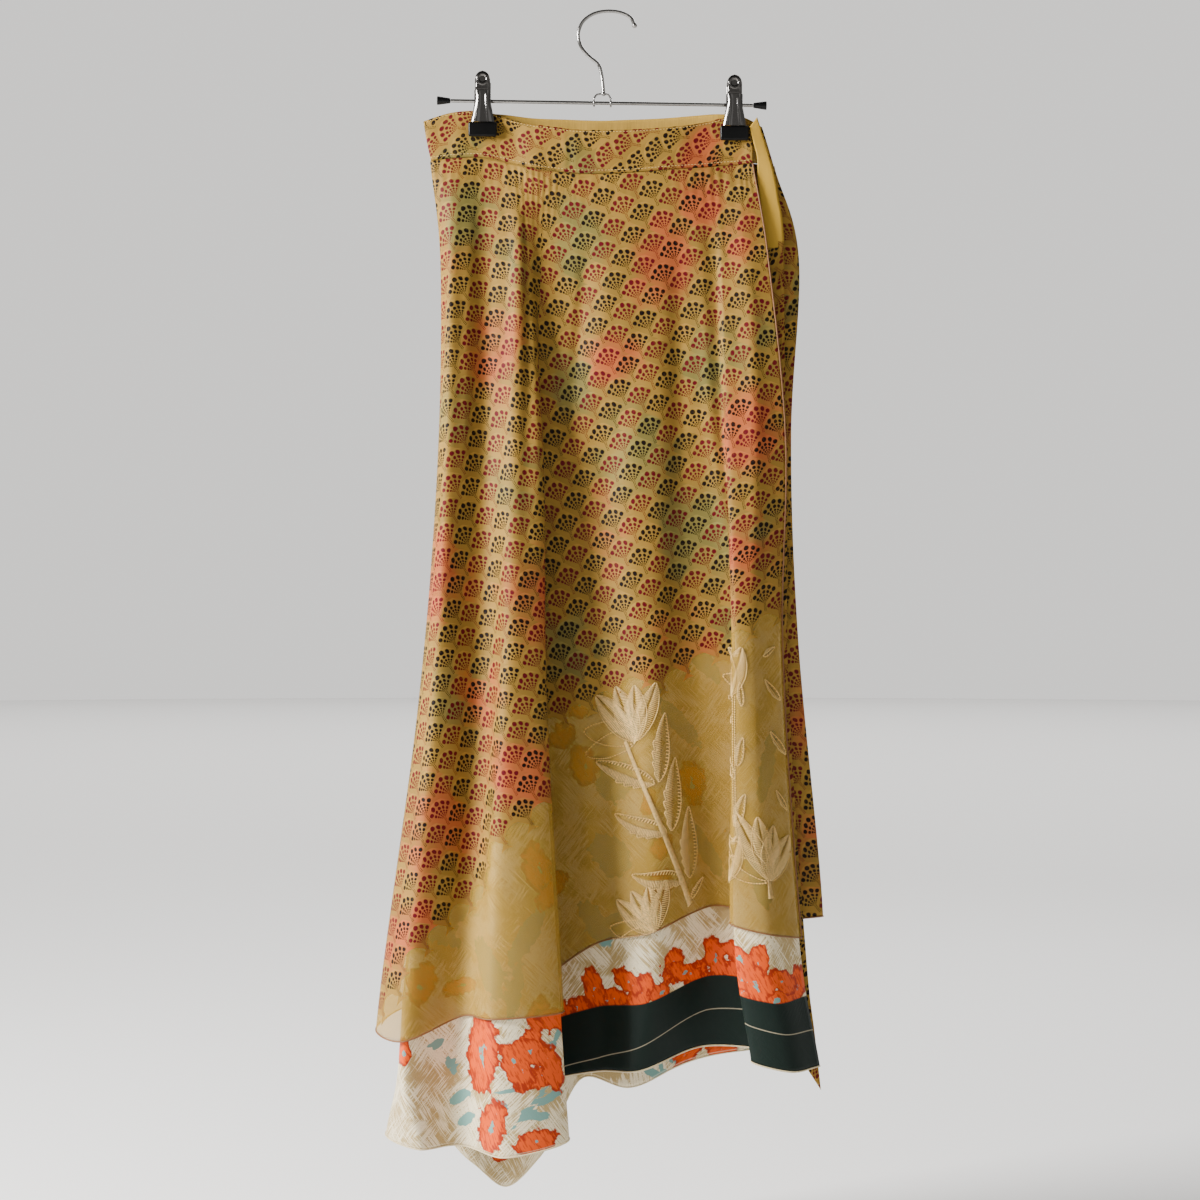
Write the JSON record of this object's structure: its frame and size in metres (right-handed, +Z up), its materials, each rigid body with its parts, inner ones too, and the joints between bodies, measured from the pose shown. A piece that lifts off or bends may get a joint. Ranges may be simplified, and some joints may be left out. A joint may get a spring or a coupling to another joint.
{
  "type": "wrap skirt on a clip hanger",
  "caption": "Long layered wrap skirt with an uneven hem and waist ties, hung flat by its waistband from a wire hanger with sprung clips.",
  "frame": {"origin": "inside of the hook's crown, where it rests on a rail", "axes": "+X along the hanger to the right as seen from the skirt's back, +Y from the skirt's back to its front, +Z up"},
  "size_m": [0.4157, 0.1314, 1.1036],
  "materials": {
    "printed_silk": "soft satin crepe, tan gold printed with small dotted fans in red and dark brown, sheer gold border with pale stitched flowers",
    "ivory_silk": "ivory silk with a silvery brushed weave, orange flowers and a dark green border",
    "gold_silk": "plain gold silk, soft satin",
    "chrome": "polished chrome plate",
    "black_rubber": "smooth black rubber"
  },
  "bodies": {
    "root": {"waistband_back": "printed_silk", "waistband_front": "printed_silk", "outer_back": "printed_silk", "outer_front": "printed_silk", "inner_back": "ivory_silk", "inner_front": "ivory_silk", "tie_free_end": "gold_silk", "tie_under_end": "gold_silk", "hanger_rod": "chrome", "rod_tip_left": "black_rubber", "rod_tip_right": "black_rubber", "hook": "chrome", "hook_bridge": "chrome", "clip_left_near_jaw": "chrome", "clip_left_far_jaw": "chrome", "clip_left_near_grip": "black_rubber", "clip_left_far_grip": "black_rubber", "clip_left_spring": "chrome", "clip_right_near_jaw": "chrome", "clip_right_far_jaw": "chrome", "clip_right_near_grip": "black_rubber", "clip_right_far_grip": "black_rubber", "clip_right_spring": "chrome"}
  },
  "joints": []
}
